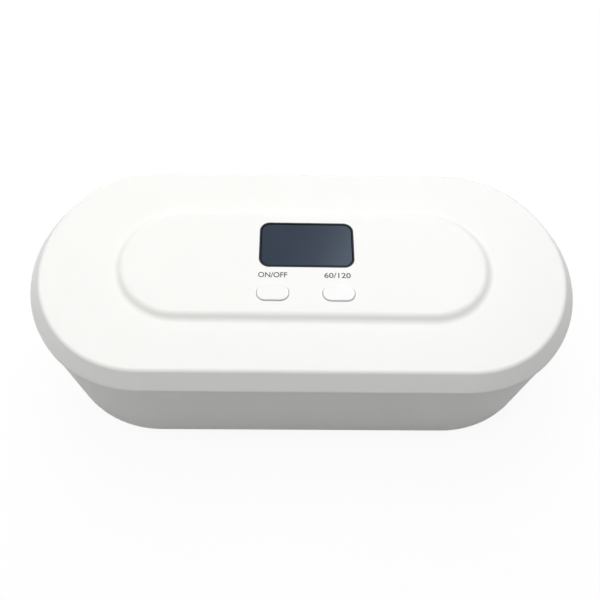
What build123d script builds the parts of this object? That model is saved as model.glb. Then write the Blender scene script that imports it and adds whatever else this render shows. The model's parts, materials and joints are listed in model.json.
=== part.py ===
from build123d import *
import os
from math import cos, radians, sin, tan

# Ultraviolet sterilizer box for nail tools: a tub, a hinged lid with the electronics, two push buttons.
# Millimetres, +Z up, +X to the right seen from the front, front at -Y. The pieces are drawn about the middle
# of the shells and all move by BACK_SHIFT at the end, so that the origin is on the floor under the middle of
# the closed box with its hinges.

# Plan outline of the box
LENGTH = 250.0
WIDTH = 116.4
SHOULDER_R = 53.2
SHOULDER_TURN = 45.0
HALF_WIDTH = WIDTH / 2
TURN_SIN = sin(radians(SHOULDER_TURN))
TURN_COS = cos(radians(SHOULDER_TURN))
NOSE_R = (HALF_WIDTH - SHOULDER_R * (1 - TURN_COS)) / TURN_COS
NOSE_X = LENGTH / 2 - NOSE_R
STRAIGHT_X = NOSE_X + (NOSE_R - SHOULDER_R) * TURN_SIN

# Levels of the shells
FOOT_PROUD = 0.8
BASE_TOP_Z = 61.0
PARTING_GAP = 0.3
LID_EDGE_Z = BASE_TOP_Z + PARTING_GAP
LID_TOP_Z = 70.2
PANEL_RISE = 2.2
PANEL_TOP_Z = LID_TOP_Z + PANEL_RISE

# Base tub
BASE_INSET = 0.5
BASE_WALL = 2.6
BASE_FLOOR = 2.6
BASE_BOTTOM_R = 7.0
BASE_INNER_R = 4.5
BASE_INNER_INSET = BASE_INSET + BASE_WALL
BASE_FLOOR_Z = FOOT_PROUD + BASE_FLOOR
BOSS_LOW_Z = 40.0
MAGNET_BOSS_LOW_Z = 48.0
MAGNET_BOSS_WALL = 2.0
MAGNET_BOSS_REACH = 12.0
SPINE_LOW_Z = 50.0
SPINE_DEPTH = 2.0

# Rubber feet
FOOT_R = 6.0
FOOT_RECESS = 1.2
FOOT_X = 78.0
FOOT_Y = 34.0
FOOT_EDGE_R = 0.5

# Reflecting liner and its screws
LINER_INSET = 7.4
LINER_WALL = 1.0
LINER_BOTTOM_R = 7.0
LINER_FLOOR_Z = 5.4
LINER_FLANGE = 1.2
LINER_FLANGE_INSET = 3.4
LINER_SEAT_Z = BASE_TOP_Z - 3.5
LINER_TOP_Z = LINER_SEAT_Z + LINER_FLANGE
LINER_PAD_R = 4.0
LINER_PAD_X = 47.0
LINER_PAD_Y = 20.0
LINER_SCREW_INSET = 5.3
LINER_SCREW_R = 0.95
LINER_SCREW_HEAD_R = 1.7
LINER_SCREW_HEAD = 0.8
LINER_SCREW_LENGTH = 9.0
BOSS_INSET = 7.2
BOSS_WIDTH = 9.0
BOSS_REACH = 9.0

# Cross recess of every screw, as shares of the head
RECESS_DEPTH = 0.5
RECESS_ARM = 0.6
RECESS_HALF = 0.14

# Tool rack
RACK_INSET = 10.4
RACK_LEG = 4.0
RACK_LEG_R = 2.5
RACK_PLATE = 1.4
RACK_RIM = 2.2
RACK_RIM_WIDTH = 1.6
RACK_SLOT_LENGTH = 26.0
RACK_SLOT_WIDTH = 4.4
RACK_SLOT_PITCH = 8.0
RACK_SLOTS_EACH_SIDE = 11
RACK_ROW_Y = 17.0
RACK_MIDDLE_LEGS_X = (-92.0, -32.0, 32.0, 92.0)
RACK_SIDE_LEGS_X = (-64.0, 0.0, 64.0)
RACK_SIDE_LEGS_Y = 34.0

# Hinge at the back
HINGE_Y = 58.6
HINGE_Z = BASE_TOP_Z - 4.3
HINGE_X = 46.0
KNUCKLE_R = 2.4
LID_KNUCKLE = 14.0
BASE_KNUCKLE = 8.0
KNUCKLE_GAP = 0.3
PIN_R = 1.0
PIN_PLAY = 0.06
PIN_SHORT = 0.6
ARM_INNER_Y = 57.0
ARM_OUTER_Y = 57.9
ARM_ROOT = 0.6
ARM_ELBOW = (60.3, HINGE_Z + 1.6)
ARM_LOW_Y = 60.95
GUSSET_Y = 57.2
GUSSET_TOP_Z = HINGE_Z + KNUCKLE_R
GUSSET_LOW_Z = HINGE_Z - 6.4
NOTCH_INNER_Y = 56.6
NOTCH_PLAY = 0.4
NOTCH_OUTER_Y = 64.0
BACK_SHIFT = -(HINGE_Y + KNUCKLE_R - HALF_WIDTH) / 2

# Magnets and lid sensor
MAGNET_X = 30.0
MAGNET_LENGTH = 10.0
MAGNET_DEPTH = 2.6
MAGNET_HEIGHT = 3.0
MAGNET_INSET = 3.9
SENSOR_MAGNET_LENGTH = 5.0

# Lid shell
LID_WALL = 2.2
LID_LAND = 1.0
LID_LAND_R = 2.0
LID_BAND_INSET = 6.2
LID_BAND_HEIGHT = LID_TOP_Z - LID_EDGE_Z - LID_LAND
LID_EDGE_R = 2.6
LID_RIM_INSET = 2.8
LID_CEILING_Z = LID_TOP_Z - LID_WALL
LID_RIM_UPRIGHT = 0.1
ROOT = 0.5

# Raised panel on the lid
PANEL_HALF_X = 56.0
PANEL_R = 27.5
PANEL_SLOPE = 40.0
PANEL_SLOPE_R = 4.3
PANEL_FLANK = PANEL_RISE / tan(radians(PANEL_SLOPE))
PANEL_ROOT = 1.0
PANEL_HOLLOW_INSET = 2.0

# Display window, bezel and module
WINDOW_X = 0.7
WINDOW_Y = 9.3
BEZEL_LENGTH = 43.3
BEZEL_WIDTH = 24.2
BEZEL_R = 4.7
BEZEL_LINE = 0.7
BEZEL_HEIGHT = 1.6
BEZEL_PROUD = 0.1
WINDOW_SINK = 0.05
WINDOW_PLAY = 0.05
WINDOW_BEVEL = 0.4
WINDOW_OPENING_LENGTH = 38.0
WINDOW_OPENING_WIDTH = 17.6
WINDOW_OPENING_R = 2.0
MODULE_LENGTH = 34.0
MODULE_WIDTH = 15.0
MODULE_GAP = 0.2
DIGIT_PITCH = 10.5
DIGIT_STEP = 5.0
DIGIT_BAR = (4.0, 0.8)
DIGIT_BAR_SIDE = 2.7
DIGIT_SINK = 0.3

# Push buttons and switches
BUTTON_X = {"power": -14.3, "timer": 14.8}
BUTTON_Y = -16.1
BUTTON_LENGTH = 14.2
BUTTON_WIDTH = 7.6
BUTTON_R = 3.6
BUTTON_PLAY = 0.2
BUTTON_PROUD = 0.7
BUTTON_EDGE_R = 0.55
BUTTON_FLANGE = 1.0
BUTTON_FLANGE_REACH = 1.0
BUTTON_FLANGE_GAP = 0.2
BUTTON_TRAVEL = 0.6
BUTTON_STEM_R = 2.2
PLUNGER_R = 1.6
PLUNGER_PLAY = 0.15
PLUNGER_LENGTH = 2.4
SWITCH_SIDE = 6.2
SWITCH_HEIGHT = 2.5
SWITCH_FLOOR = 0.2
SWITCH_CLEAR = 0.2

# Inner cover of the lid
PAN_INSET = 10.4
PAN_WALL = 1.4
PAN_BOTTOM_Z = BASE_TOP_Z - 7.1
PAN_FLOOR = 1.6
PAN_BOTTOM_R = 2.5
PAN_FLANGE = 1.6
PAN_FLANGE_INSET = 4.6
PAN_LIP = 0.2
PAN_TOP_Z = LID_EDGE_Z + PAN_LIP
PAN_FLANGE_Z = PAN_TOP_Z - PAN_FLANGE
PAN_FLOOR_TOP_Z = PAN_BOTTOM_Z + PAN_FLOOR
LID_MAGNET_INSET = 1.6
LID_MAGNET_FLOOR = 0.4

# Screws that hold the inner cover
LID_SCREW_INSET = 8.4
LID_SCREW_R = 0.9
LID_SCREW_HEAD_R = 1.6
LID_SCREW_HEAD = 0.9
LID_SCREW_LENGTH = 4.6
LID_BOSS_R = 2.3
SCREW_X = 56.0

# Light seal
SEAL_INSET = 5.0
SEAL_WIDTH = 1.2
SEAL_HEIGHT = 0.8

# Lamp strips
LAMP_Y = 24.0
LAMP_BOARD_LENGTH = 170.0
LAMP_BOARD_WIDTH = 12.0
LAMP_BOARD = 1.2
LAMP_SLOT_LENGTH = 160.0
LAMP_SLOT_WIDTH = 7.0
LAMP_COVER_LENGTH = 164.0
LAMP_COVER_WIDTH = 11.0
LAMP_COVER = 0.8
LAMP_COVER_R = 1.5
LAMP_PLAY = 0.1
EMITTER_SIDE = 3.5
EMITTER_HEIGHT = 0.7
EMITTER_PITCH = 26.0
EMITTER_COUNT = 6
EMITTER_CUP_R = 1.1
EMITTER_CUP = 0.3

# Main board
BOARD_LENGTH = 96.0
BOARD_FRONT_Y = -30.0
BOARD_BACK_Y = 40.0
BOARD = 1.6
BOARD_Z = 63.5
BOARD_TOP_Z = BOARD_Z + BOARD
BOARD_TONGUE_FRONT_Y = -46.0
BOARD_TONGUE_FRONT_WIDTH = 16.0
BOARD_TONGUE_BACK_Y = 50.5
BOARD_TONGUE_BACK_WIDTH = 18.0
BOARD_SCREW_X = 43.0
BOARD_SCREW_Y = (-26.5, 33.0)
BOARD_SCREW_R = 0.9
BOARD_SCREW_HEAD_R = 1.7
BOARD_SCREW_HEAD = 1.2
BOARD_SCREW_LENGTH = 5.6
STANDOFF_R = 2.4
HEADER_X = 28.0
HEADER_LENGTH = 10.2
HEADER_WIDTH = 2.6
HALL_SIZE = (4.0, 3.0, 1.2)
HALL_Y = -43.5
CHIPS = ((-35, 12, 7, 7, 1.2), (34, 16, 5, 6, 1.6), (34, 2, 6, 6, 3.0))
CAPACITOR = (-34, -4, 2.5, 4.4)
BOARD_PLAY = 0.1

# Battery
BATTERY_X = -76.0
BATTERY_SIZE = (48.0, 33.0, 6.2)
BATTERY_EDGE_R = 1.6

# Charge socket at the back of the lid
PORT_LENGTH = 8.9
PORT_HEIGHT = 3.2
PORT_DEPTH = 9.0
PORT_SHELL = 0.3
PORT_TONGUE = 0.7
PORT_TONGUE_LENGTH = 6.6
PORT_Z = 65.1
PORT_MOUTH_Y = 54.4
PORT_PLAY = 0.1
PORT_POCKET_LENGTH = 13.0
PORT_BLOCK_LENGTH = 17.0
PORT_BLOCK_Y = 49.4
PORT_BLOCK_FRONT_Y = 51.6
PORT_BLOCK_BACK_Y = 57.4
PORT_BLOCK_LOW_Z = 62.2
PORT_POCKET_DEPTH = 10.0
PORT_POCKET_R = 0.8
PORT_POCKET_DROP = 2.4
PORT_POCKET_TOP_Z = 69.0
PORT_BACK_WALL = 1.2
PORT_TONGUE_HALF = 3.3
PORT_TONGUE_ROOT = 1.0
PORT_CORNER = 0.05

CUT = 1.0


def outline(inset=0.0):
    """Plan outline drawn in by inset: two straights, four shoulder arcs and two nose arcs, all tangent."""
    side_y = HALF_WIDTH - inset
    shoulder_y = HALF_WIDTH - SHOULDER_R
    shoulder_r = SHOULDER_R - inset
    nose_r = NOSE_R - inset
    nose_turn = 180 - 2 * SHOULDER_TURN
    edges = [
        Line((-STRAIGHT_X, side_y), (STRAIGHT_X, side_y)),
        Line((-STRAIGHT_X, -side_y), (STRAIGHT_X, -side_y)),
        CenterArc((NOSE_X, 0), nose_r, -nose_turn / 2, nose_turn),
        CenterArc((-NOSE_X, 0), nose_r, 180 - nose_turn / 2, nose_turn),
        CenterArc((STRAIGHT_X, shoulder_y), shoulder_r, 90 - SHOULDER_TURN, SHOULDER_TURN),
        CenterArc((-STRAIGHT_X, shoulder_y), shoulder_r, 90, SHOULDER_TURN),
        CenterArc((-STRAIGHT_X, -shoulder_y), shoulder_r, 270 - SHOULDER_TURN, SHOULDER_TURN),
        CenterArc((STRAIGHT_X, -shoulder_y), shoulder_r, 270, SHOULDER_TURN),
    ]
    return make_face(edges)


def slab(inset, low_z, high_z):
    """Straight-walled block on the plan outline."""
    return extrude(Pos(0, 0, low_z) * outline(inset), amount=high_z - low_z)


def ring(outer_inset, inner_inset, low_z, high_z):
    """Band of the plan outline between two insets."""
    return slab(outer_inset, low_z, high_z) - slab(inner_inset, low_z - CUT, high_z + CUT)


def slot_block(half_x, radius, low_z, high_z):
    """Straight-walled oblong block with round ends, along X."""
    return extrude(Pos(0, 0, low_z) * SlotCenterToCenter(2 * half_x, 2 * radius), amount=high_z - low_z)


def block(low, high):
    """Box between two corners."""
    size = [end - start for start, end in zip(low, high)]
    middle = [(start + end) / 2 for start, end in zip(low, high)]
    return Pos(*middle) * Box(*size)


def rounded_block(centre, size, radius, low_z, high_z):
    """Box with rounded upright edges."""
    return extrude(Pos(*centre, low_z) * RectangleRounded(*size, radius), amount=high_z - low_z)


def post(x, y, radius, low_z, high_z):
    """Upright round post."""
    return Pos(x, y, (low_z + high_z) / 2) * Cylinder(radius, high_z - low_z)


def bar(x_low, x_high, radius):
    """Round bar along the hinge axis."""
    middle = ((x_low + x_high) / 2, HINGE_Y, HINGE_Z)
    return Pos(*middle) * (Rot(0, 90, 0) * Cylinder(radius, x_high - x_low))


def side_plate(points, x_low, x_high):
    """Plate square to X whose outline is given as Y and Z points."""
    face = make_face(Polyline([(0, y, z) for y, z in points], close=True))
    return extrude(Pos(x_low, 0, 0) * face, amount=x_high - x_low, dir=(1, 0, 0))


def edges_at(part, level, tolerance=0.05):
    """Edges that lie flat at a level."""
    return [edge for edge in part.edges() if abs(edge.bounding_box().min.Z - level) < tolerance
            and abs(edge.bounding_box().max.Z - level) < tolerance]


def join(parts):
    """One body fused from several."""
    body = parts[0]
    for part in parts[1:]:
        body = body + part
    return body


def corner_places(inset):
    """Six places round the rim: four on the straights and one at each nose."""
    y = HALF_WIDTH - inset
    nose = LENGTH / 2 - inset
    return [(-SCREW_X, -y), (SCREW_X, -y), (-SCREW_X, y), (SCREW_X, y), (-nose, 0), (nose, 0)]


def hinge_spans():
    """For each hinge: the lid knuckle's span and the two base knuckles' spans along X."""
    spans = []
    for x in (-HINGE_X, HINGE_X):
        lid = (x - LID_KNUCKLE / 2, x + LID_KNUCKLE / 2)
        left = (lid[0] - KNUCKLE_GAP - BASE_KNUCKLE, lid[0] - KNUCKLE_GAP)
        right = (lid[1] + KNUCKLE_GAP, lid[1] + KNUCKLE_GAP + BASE_KNUCKLE)
        spans.append((lid, left, right))
    return spans


def magnet_block(x, length, low_z, play=0.0):
    """Magnet that stands just inside the front wall."""
    front = -(HALF_WIDTH - MAGNET_INSET)
    low = (x - length / 2 - play, front - play, low_z)
    high = (x + length / 2 + play, front + MAGNET_DEPTH + play, low_z + MAGNET_HEIGHT)
    return block(low, high)


def make_base_shell():
    """Moulded tub with screw bosses, magnet pockets, foot recesses and the outer hinge knuckles."""
    tub = slab(BASE_INSET, FOOT_PROUD, BASE_TOP_Z)
    tub = fillet(edges_at(tub, FOOT_PROUD), BASE_BOTTOM_R)
    cavity = slab(BASE_INNER_INSET, BASE_FLOOR_Z, BASE_TOP_Z + CUT)
    cavity = fillet(edges_at(cavity, BASE_FLOOR_Z), BASE_INNER_R)
    tub = tub - cavity

    band = ring(BASE_INNER_INSET - CUT, BOSS_INSET, BASE_FLOOR_Z - CUT, LINER_SEAT_Z)
    bosses = []
    for x, y in corner_places(LINER_SCREW_INSET):
        half = BOSS_WIDTH / 2
        bosses.append(block((x - half, y - BOSS_REACH, BOSS_LOW_Z), (x + half, y + BOSS_REACH, LINER_SEAT_Z)))
    magnet_front = -(HALF_WIDTH - CUT)
    for x, length in ((-MAGNET_X, MAGNET_LENGTH), (MAGNET_X, MAGNET_LENGTH), (0, SENSOR_MAGNET_LENGTH)):
        half = length / 2 + MAGNET_BOSS_WALL
        low = (x - half, magnet_front, MAGNET_BOSS_LOW_Z)
        bosses.append(block(low, (x + half, magnet_front + MAGNET_BOSS_REACH, LINER_SEAT_Z)))
    tub = tub + (band & join(bosses))
    spine = ring(BASE_INNER_INSET - CUT, BASE_INNER_INSET + SPINE_DEPTH, SPINE_LOW_Z, LINER_SEAT_Z)
    for lid, left, right in hinge_spans():
        tub = tub + (spine & block((left[0] - CUT, 0, SPINE_LOW_Z), (right[1] + CUT, WIDTH, LINER_SEAT_Z)))

    for x in (-FOOT_X, FOOT_X):
        for y in (-FOOT_Y, FOOT_Y):
            tub = tub - post(x, y, FOOT_R, FOOT_PROUD - CUT, FOOT_PROUD + FOOT_RECESS)
    for x in (-LINER_PAD_X, LINER_PAD_X):
        for y in (-LINER_PAD_Y, LINER_PAD_Y):
            tub = tub + post(x, y, LINER_PAD_R, BASE_FLOOR_Z - CUT, LINER_FLOOR_Z)

    gusset = [(GUSSET_Y, GUSSET_TOP_Z), (HINGE_Y, HINGE_Z + KNUCKLE_R), (HINGE_Y + KNUCKLE_R, HINGE_Z),
              (GUSSET_Y, GUSSET_LOW_Z)]
    for lid, left, right in hinge_spans():
        for low_x, high_x in (left, right):
            tub = tub + side_plate(gusset, low_x, high_x) + bar(low_x, high_x, KNUCKLE_R)
        notch_low, notch_high = left[1], right[0]
        tub = tub - bar(notch_low, notch_high, KNUCKLE_R + NOTCH_PLAY)
        tub = tub - block((notch_low, NOTCH_INNER_Y, HINGE_Z), (notch_high, NOTCH_OUTER_Y, BASE_TOP_Z + CUT))
        tub = tub - bar(left[0] - CUT, right[1] + CUT, PIN_R)

    for x, y in corner_places(LINER_SCREW_INSET):
        tub = tub - post(x, y, LINER_SCREW_R, LINER_TOP_Z - LINER_SCREW_LENGTH, LINER_SEAT_Z + CUT)
    for x in (-MAGNET_X, MAGNET_X):
        tub = tub - magnet_block(x, MAGNET_LENGTH, LINER_SEAT_Z - MAGNET_HEIGHT)
    tub = tub - magnet_block(0, SENSOR_MAGNET_LENGTH, LINER_SEAT_Z - MAGNET_HEIGHT)
    return tub


def make_chamber_liner():
    """Bright inner tub with a flange that rests on the bosses."""
    outer = slab(LINER_INSET, LINER_FLOOR_Z, LINER_TOP_Z)
    outer = fillet(edges_at(outer, LINER_FLOOR_Z), LINER_BOTTOM_R)
    liner = outer + slab(LINER_FLANGE_INSET, LINER_SEAT_Z, LINER_TOP_Z)
    inner_floor = LINER_FLOOR_Z + LINER_WALL
    inner = slab(LINER_INSET + LINER_WALL, inner_floor, LINER_TOP_Z + CUT)
    inner = fillet(edges_at(inner, inner_floor), LINER_BOTTOM_R - LINER_WALL)
    liner = liner - inner
    for x, y in corner_places(LINER_SCREW_INSET):
        liner = liner - post(x, y, LINER_SCREW_R, LINER_SEAT_Z - CUT, LINER_TOP_Z)
        liner = liner - post(x, y, LINER_SCREW_HEAD_R, LINER_TOP_Z - LINER_SCREW_HEAD, LINER_TOP_Z + CUT)
    return liner


def screw(x, y, head_z, head_r, head, shank_r, length, up=False):
    """Screw with a flat head and a cross recess; head_z is the outer face of the head."""
    way = 1 if up else -1
    neck = head_z + way * head
    tip = head_z + way * length
    body = post(x, y, head_r, min(head_z, neck), max(head_z, neck))
    body = body + post(x, y, shank_r, min(neck, tip), max(neck, tip))
    recess = head * RECESS_DEPTH
    arm = head_r * RECESS_ARM
    thick = head_r * RECESS_HALF
    low_z = head_z - recess
    high_z = head_z + recess
    body = body - block((x - arm, y - thick, low_z), (x + arm, y + thick, high_z))
    return body - block((x - thick, y - arm, low_z), (x + thick, y + arm, high_z))


def make_liner_screws():
    """Six screws through the liner's flange, heads flush."""
    return [screw(x, y, LINER_TOP_Z, LINER_SCREW_HEAD_R, LINER_SCREW_HEAD, LINER_SCREW_R, LINER_SCREW_LENGTH)
            for x, y in corner_places(LINER_SCREW_INSET)]


def make_tool_rack():
    """Slotted shelf with a low rim and short legs that stands on the liner's floor."""
    floor_z = LINER_FLOOR_Z + LINER_WALL
    plate_z = floor_z + RACK_LEG
    plate_top_z = plate_z + RACK_PLATE
    rack = slab(RACK_INSET, plate_z, plate_top_z + RACK_RIM)
    rack = rack - slab(RACK_INSET + RACK_RIM_WIDTH, plate_top_z, plate_top_z + RACK_RIM + CUT)
    slot = SlotOverall(RACK_SLOT_LENGTH, RACK_SLOT_WIDTH, rotation=90)
    slots = []
    for row_y in (-RACK_ROW_Y, RACK_ROW_Y):
        for place in range(-RACK_SLOTS_EACH_SIDE, RACK_SLOTS_EACH_SIDE + 1):
            x = place * RACK_SLOT_PITCH
            slots.append(Pos(x, row_y) * slot)
    rack = rack - extrude(Pos(0, 0, plate_z - CUT) * (Sketch() + slots), amount=RACK_PLATE + 2 * CUT)
    for x in RACK_MIDDLE_LEGS_X:
        rack = rack + post(x, 0, RACK_LEG_R, floor_z, plate_z)
    for x in RACK_SIDE_LEGS_X:
        for y in (-RACK_SIDE_LEGS_Y, RACK_SIDE_LEGS_Y):
            rack = rack + post(x, y, RACK_LEG_R, floor_z, plate_z)
    return rack


def make_rubber_feet():
    """Four round feet with a softened lower edge."""
    feet = []
    for x in (-FOOT_X, FOOT_X):
        for y in (-FOOT_Y, FOOT_Y):
            foot = post(x, y, FOOT_R, 0, FOOT_PROUD + FOOT_RECESS)
            feet.append(fillet(edges_at(foot, 0), FOOT_EDGE_R))
    return feet


def make_base_magnets():
    """Two block magnets in the front wall of the tub."""
    return [magnet_block(x, MAGNET_LENGTH, LINER_SEAT_Z - MAGNET_HEIGHT) for x in (-MAGNET_X, MAGNET_X)]


def make_sensor_magnet():
    """Small block magnet that the lid's sensor looks for."""
    return [magnet_block(0, SENSOR_MAGNET_LENGTH, LINER_SEAT_Z - MAGNET_HEIGHT)]


def make_hinge_pins():
    """Two steel pins held in the base knuckles."""
    return [bar(left[0] + PIN_SHORT, right[1] - PIN_SHORT, PIN_R) for lid, left, right in hinge_spans()]


def button_opening(x, grow, low_z, high_z):
    """Upright rounded hole round a button."""
    size = (BUTTON_LENGTH + 2 * grow, BUTTON_WIDTH + 2 * grow)
    return rounded_block((x, BUTTON_Y), size, BUTTON_R + grow, low_z, high_z)


def port_tunnel(grow, low_y, high_y):
    """Round-cornered passage of the charge socket along Y."""
    size = (PORT_LENGTH + 2 * grow, PORT_HEIGHT + 2 * grow)
    face = RectangleRounded(*size, min(size) / 2 - PORT_CORNER)
    return extrude(Plane((0, low_y, PORT_Z), x_dir=(1, 0, 0), z_dir=(0, 1, 0)) * face, amount=high_y - low_y)


def make_lid_shell():
    """Moulded lid: slanted band, raised panel, openings, bosses and the middle hinge knuckles."""
    lid = fillet(edges_at(slanted_core(), LID_TOP_Z), LID_EDGE_R)
    lid = fillet(edges_at(lid, LID_EDGE_Z + LID_LAND), LID_LAND_R)

    spread = PANEL_FLANK * PANEL_ROOT / PANEL_RISE
    foot_r = PANEL_R + PANEL_FLANK / 2 + spread
    head_r = PANEL_R - PANEL_FLANK / 2
    foot = Pos(0, 0, LID_TOP_Z - PANEL_ROOT) * SlotCenterToCenter(2 * PANEL_HALF_X, 2 * foot_r)
    head = Pos(0, 0, PANEL_TOP_Z) * SlotCenterToCenter(2 * PANEL_HALF_X, 2 * head_r)
    panel = loft([foot, head], ruled=True)
    lid = lid + panel
    lid = fillet(edges_at(lid, PANEL_TOP_Z), PANEL_SLOPE_R)
    foot_reach = PANEL_R + PANEL_FLANK / 2 + CUT
    foot_edges = [edge for edge in edges_at(lid, LID_TOP_Z) if edge.bounding_box().max.Y < foot_reach
                  and edge.bounding_box().min.Y > -foot_reach]
    lid = fillet(foot_edges, PANEL_SLOPE_R)

    rise = LID_CEILING_Z - LID_EDGE_Z - LID_RIM_UPRIGHT
    hollow = slab(LID_RIM_INSET, LID_EDGE_Z - CUT, LID_CEILING_Z)
    lid = lid - slanted(hollow, rise * LID_BAND_INSET / LID_BAND_HEIGHT, rise)
    hollow_r = head_r - PANEL_HOLLOW_INSET
    lid = lid - slot_block(PANEL_HALF_X, hollow_r, LID_CEILING_Z - CUT, PANEL_TOP_Z - LID_WALL)

    centre = (WINDOW_X, WINDOW_Y)
    pocket_z = PANEL_TOP_Z - BEZEL_HEIGHT
    lid = lid - rounded_block(centre, (BEZEL_LENGTH, BEZEL_WIDTH), BEZEL_R, pocket_z, PANEL_TOP_Z + CUT)
    opening = (WINDOW_OPENING_LENGTH, WINDOW_OPENING_WIDTH)
    lid = lid - rounded_block(centre, opening, WINDOW_OPENING_R, LID_CEILING_Z, PANEL_TOP_Z)
    for x in BUTTON_X.values():
        lid = lid - button_opening(x, BUTTON_PLAY, LID_CEILING_Z, PANEL_TOP_Z + CUT)

    for x, y in corner_places(LID_SCREW_INSET):
        lid = lid + post(x, y, LID_BOSS_R, PAN_TOP_Z, LID_CEILING_Z + ROOT)
        lid = lid - post(x, y, LID_SCREW_R, PAN_TOP_Z - CUT, PAN_FLANGE_Z + LID_SCREW_LENGTH)
    screw_tip_z = BOARD_Z - BOARD_SCREW_HEAD + BOARD_SCREW_LENGTH
    for x in (-BOARD_SCREW_X, BOARD_SCREW_X):
        for y in BOARD_SCREW_Y:
            lid = lid + post(x, y, STANDOFF_R, BOARD_TOP_Z, LID_CEILING_Z + ROOT)
            lid = lid - post(x, y, BOARD_SCREW_R, BOARD_TOP_Z - CUT, screw_tip_z)

    half = PORT_BLOCK_LENGTH / 2
    low = (-half, PORT_BLOCK_FRONT_Y, PORT_BLOCK_LOW_Z)
    housing = block(low, (half, PORT_BLOCK_BACK_Y, LID_CEILING_Z + ROOT))
    lid = lid + (housing & slanted_core())
    centre = (0, PORT_MOUTH_Y + PORT_POCKET_DEPTH / 2)
    size = (PORT_POCKET_LENGTH, PORT_POCKET_DEPTH)
    lid = lid - rounded_block(centre, size, PORT_POCKET_R, PORT_Z - PORT_POCKET_DROP, PORT_POCKET_TOP_Z)
    lid = lid - port_tunnel(PORT_PLAY, PORT_BLOCK_Y, PORT_MOUTH_Y + CUT)

    root_z = LID_EDGE_Z + ARM_ROOT
    inner = [(ARM_INNER_Y, HINGE_Z), (ARM_INNER_Y, root_z)]
    arm = inner + [(ARM_OUTER_Y, root_z), ARM_ELBOW, (ARM_LOW_Y, HINGE_Z)]
    for span, left, right in hinge_spans():
        lid = lid + side_plate(arm, *span) + bar(*span, KNUCKLE_R)
        lid = lid - bar(span[0] - CUT, span[1] + CUT, PIN_R + PIN_PLAY)
    return lid


def slanted(body, inset, drop):
    """The body with its top edge cut to a slant: inset along the top and drop down the side."""
    top = body.faces().sort_by(Axis.Z)[-1]
    return chamfer(top.edges(), inset, drop, reference=top)


def slanted_core():
    """The lid's outer form without the raised panel, also for trimming what is added inside."""
    return slanted(slab(0, LID_EDGE_Z, LID_TOP_Z), LID_BAND_INSET, LID_BAND_HEIGHT)


def make_window_bezel():
    """Thin dark frame round the window."""
    low_z = PANEL_TOP_Z - BEZEL_HEIGHT
    high_z = PANEL_TOP_Z + BEZEL_PROUD
    centre = (WINDOW_X, WINDOW_Y)
    frame = rounded_block(centre, (BEZEL_LENGTH, BEZEL_WIDTH), BEZEL_R, low_z, high_z)
    inner = (BEZEL_LENGTH - 2 * BEZEL_LINE, BEZEL_WIDTH - 2 * BEZEL_LINE)
    return frame - rounded_block(centre, inner, BEZEL_R - BEZEL_LINE, low_z - CUT, high_z + CUT)


def make_display_window():
    """Smoked flat window with a small bevel, just below the bezel."""
    low_z = PANEL_TOP_Z - BEZEL_HEIGHT
    high_z = PANEL_TOP_Z - WINDOW_SINK
    shrink = BEZEL_LINE + WINDOW_PLAY
    size = (BEZEL_LENGTH - 2 * shrink, BEZEL_WIDTH - 2 * shrink)
    pane = rounded_block((WINDOW_X, WINDOW_Y), size, BEZEL_R - shrink, low_z, high_z)
    return chamfer(edges_at(pane, high_z), WINDOW_BEVEL)


def make_display_module():
    """Numeric display block whose face carries two digits of seven bars."""
    top_z = PANEL_TOP_Z - LID_WALL - MODULE_GAP
    half_x = MODULE_LENGTH / 2
    half_y = MODULE_WIDTH / 2
    low = (WINDOW_X - half_x, WINDOW_Y - half_y, BOARD_TOP_Z)
    module = block(low, (WINDOW_X + half_x, WINDOW_Y + half_y, top_z))
    bar_length, bar_width = DIGIT_BAR
    level = Pos(0, 0, top_z)
    for side in (-1, 1):
        x = WINDOW_X + side * DIGIT_PITCH / 2
        for y_step in (-1, 0, 1):
            flat = level * Pos(x, WINDOW_Y + y_step * DIGIT_STEP) * Box(bar_length, bar_width, 2 * DIGIT_SINK)
            module = module - flat
        for x_step in (-1, 1):
            for y_step in (-0.5, 0.5):
                place = Pos(x + x_step * DIGIT_BAR_SIDE, WINDOW_Y + y_step * DIGIT_STEP)
                module = module - level * place * Box(bar_width, bar_length, 2 * DIGIT_SINK)
    return module


def make_button(x):
    """Button cap with a soft top edge, a retaining flange under the lid and a stem."""
    cap_top_z = PANEL_TOP_Z + BUTTON_PROUD
    flange_top_z = PANEL_TOP_Z - LID_WALL - BUTTON_FLANGE_GAP
    flange_low_z = flange_top_z - BUTTON_FLANGE
    cap = button_opening(x, 0, flange_top_z, cap_top_z)
    cap = fillet(edges_at(cap, cap_top_z), BUTTON_EDGE_R)
    size = (BUTTON_LENGTH + 2 * BUTTON_FLANGE_REACH, BUTTON_WIDTH + 2 * BUTTON_FLANGE_REACH)
    cap = cap + rounded_block((x, BUTTON_Y), size, BUTTON_R + BUTTON_FLANGE_REACH, flange_low_z, flange_top_z)
    return cap + post(x, BUTTON_Y, BUTTON_STEM_R, plunger_top_z(), flange_low_z)


def plunger_top_z():
    """Level where a button's stem meets its switch."""
    return BOARD_TOP_Z + SWITCH_HEIGHT + BUTTON_TRAVEL + SWITCH_CLEAR


def make_plunger(x):
    """Round plunger of a switch, under the button's stem."""
    top_z = plunger_top_z()
    return post(x, BUTTON_Y, PLUNGER_R, top_z - PLUNGER_LENGTH, top_z)


def make_switch_housings():
    """Two square switch bodies with the well that the plunger slides in."""
    housings = []
    top_z = BOARD_TOP_Z + SWITCH_HEIGHT
    half = SWITCH_SIDE / 2
    for x in BUTTON_X.values():
        body = block((x - half, BUTTON_Y - half, BOARD_TOP_Z), (x + half, BUTTON_Y + half, top_z))
        well = post(x, BUTTON_Y, PLUNGER_R + PLUNGER_PLAY, BOARD_TOP_Z + SWITCH_FLOOR, top_z + CUT)
        housings.append(body - well)
    return housings


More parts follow.
